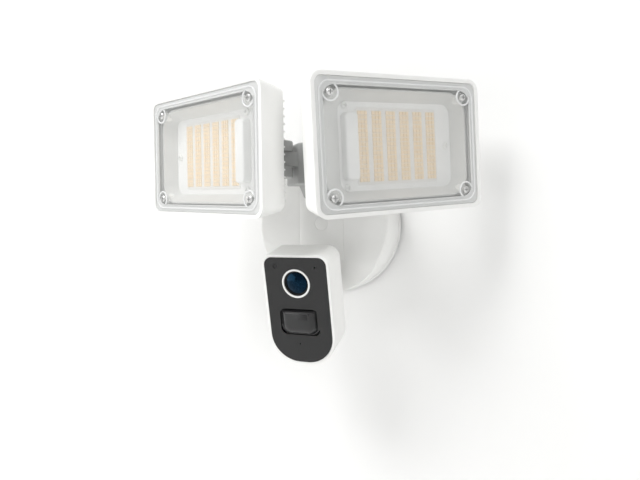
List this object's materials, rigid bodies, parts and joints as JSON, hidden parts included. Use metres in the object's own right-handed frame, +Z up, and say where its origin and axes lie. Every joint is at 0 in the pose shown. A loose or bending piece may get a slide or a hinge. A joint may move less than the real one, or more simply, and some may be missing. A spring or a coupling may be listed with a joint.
{
  "type": "floodlight security camera",
  "caption": "Wall-mounted security light: a round base with adjustable flat lamp heads on swivelling arms and a tilting camera unit with motion sensor below.",
  "frame": {"origin": "centre of the wall plane, at the middle of the bracket's two box screw slots", "axes": "+Z up, +X to the right seen from the front, -Y out of the wall"},
  "size_m": [0.2793, 0.1583, 0.2258],
  "materials": {
    "white_plastic": "moulded, fine satin",
    "white_strip": "moulded, fine satin",
    "grey_arm": "die-cast, grey powder coat",
    "white_metal": "die-cast, white powder coat",
    "foam": "closed-cell foam",
    "black_rubber": "moulded rubber",
    "silicone": "moulded silicone",
    "zinc_steel": "zinc plated",
    "green_board": "solder mask",
    "component": "moulded",
    "terminal": "moulded nylon",
    "clear_lens": "clear polycarbonate",
    "reflector": "moulded, light grey",
    "white_board": "white solder mask on aluminium",
    "led_phosphor": "phosphor under silicone",
    "black_face": "polished black",
    "black_lens": "black anodised look",
    "lens_glass": "coated glass",
    "dark_pir": "dark infrared plastic",
    "sensor_can": "pressed can"
  },
  "bodies": {
    "base": {"wall_gasket": "foam", "back_plate": "white_plastic", "mounting_bracket": "zinc_steel", "base_housing": "white_plastic", "strip_cover": "white_strip", "centre_plug": "white_plastic", "centre_screw": "zinc_steel", "housing_screws": "zinc_steel", "driver_board": "green_board", "driver_parts": "component", "terminal_block": "terminal", "cable_grommet": "black_rubber", "neck": "grey_arm", "pan_pins": "zinc_steel", "camera_arm": "grey_arm", "camera_pan_pin": "zinc_steel"},
    "left_knuckle": {"left_pan_knuckle": "grey_arm"},
    "left_swivel": {"left_swivel_stem": "grey_arm", "left_swivel_nut": "zinc_steel", "left_tilt_pin": "zinc_steel"},
    "left_head": {"left_head_collar": "white_metal", "left_head_housing": "white_metal", "left_head_screws": "zinc_steel", "left_led_board": "white_board", "left_led_strips": "led_phosphor", "left_lens_cover": "clear_lens", "left_lens_gasket": "silicone", "left_tray": "reflector", "left_wire_cover": "reflector"},
    "right_knuckle": {"right_pan_knuckle": "grey_arm"},
    "right_swivel": {"right_swivel_stem": "grey_arm", "right_swivel_nut": "zinc_steel", "right_tilt_pin": "zinc_steel"},
    "right_head": {"right_head_collar": "white_metal", "right_head_housing": "white_metal", "right_head_screws": "zinc_steel", "right_led_board": "white_board", "right_led_strips": "led_phosphor", "right_lens_cover": "clear_lens", "right_lens_gasket": "silicone", "right_tray": "reflector", "right_wire_cover": "reflector"},
    "camera_yoke": {"camera_knuckle": "grey_arm"},
    "card_door": {"card_door": "black_rubber"},
    "reset_button": {"reset_button": "white_plastic"},
    "camera": {"camera_board": "green_board", "camera_clevis": "grey_arm", "camera_face": "black_face", "camera_front_shell": "white_plastic", "camera_rear_shell": "white_plastic", "camera_screws": "zinc_steel", "camera_tilt_pin": "zinc_steel", "image_sensor": "component", "lens_barrel": "black_lens", "lens_glass": "lens_glass", "lens_ring": "white_plastic", "light_sensor": "black_lens", "pir_lens": "dark_pir", "pir_sensor": "sensor_can", "speaker": "component"}
  },
  "joints": [
    {"name": "left_pan", "type": "hinge", "parent": "base", "child": "left_knuckle", "pos_m": [-0.0215, -0.083, 0.056], "axis": [0, 0, -1], "range_deg": [-5, 40]},
    {"name": "left_tilt", "type": "hinge", "parent": "left_knuckle", "child": "left_swivel", "pos_m": [-0.02896, -0.10156, 0.056], "axis": [0.9278, -0.373, 0], "range_deg": [-25, 30]},
    {"name": "left_twist", "type": "hinge", "parent": "left_swivel", "child": "left_head", "pos_m": [-0.02896, -0.10156, 0.056], "axis": [0.3726, 0.9268, 0.0471], "range_deg": [-10, 10]},
    {"name": "right_pan", "type": "hinge", "parent": "base", "child": "right_knuckle", "pos_m": [0.0215, -0.083, 0.056], "axis": [0, 0, 1], "range_deg": [-5, 12]},
    {"name": "right_tilt", "type": "hinge", "parent": "right_knuckle", "child": "right_swivel", "pos_m": [0.03622, -0.09654, 0.056], "axis": [0.6769, 0.7361, 0], "range_deg": [-25, 30]},
    {"name": "right_twist", "type": "hinge", "parent": "right_swivel", "child": "right_head", "pos_m": [0.03622, -0.09654, 0.056], "axis": [0.7352, -0.676, -0.0506], "range_deg": [-10, 10]},
    {"name": "camera_pan", "type": "hinge", "parent": "base", "child": "camera_yoke", "pos_m": [0, -0.053, -0.049], "axis": [0, 0, 1], "range_deg": [-25, 25]},
    {"name": "camera_tilt", "type": "hinge", "parent": "camera_yoke", "child": "camera", "pos_m": [0, -0.068, -0.049], "axis": [1, 0, 0], "range_deg": [-25, 15]},
    {"name": "card_door_hinge", "type": "hinge", "parent": "camera", "child": "card_door", "pos_m": [-0.0277, -0.07758, -0.0662], "axis": [0, 0.9744, 0.225], "range_deg": [0, 95]},
    {"name": "reset_button_press", "type": "slide", "parent": "camera", "child": "reset_button", "axis": [1, 0, 0], "range_m": [0, 0.0007], "stiffness_N_per_m": 600}
  ]
}
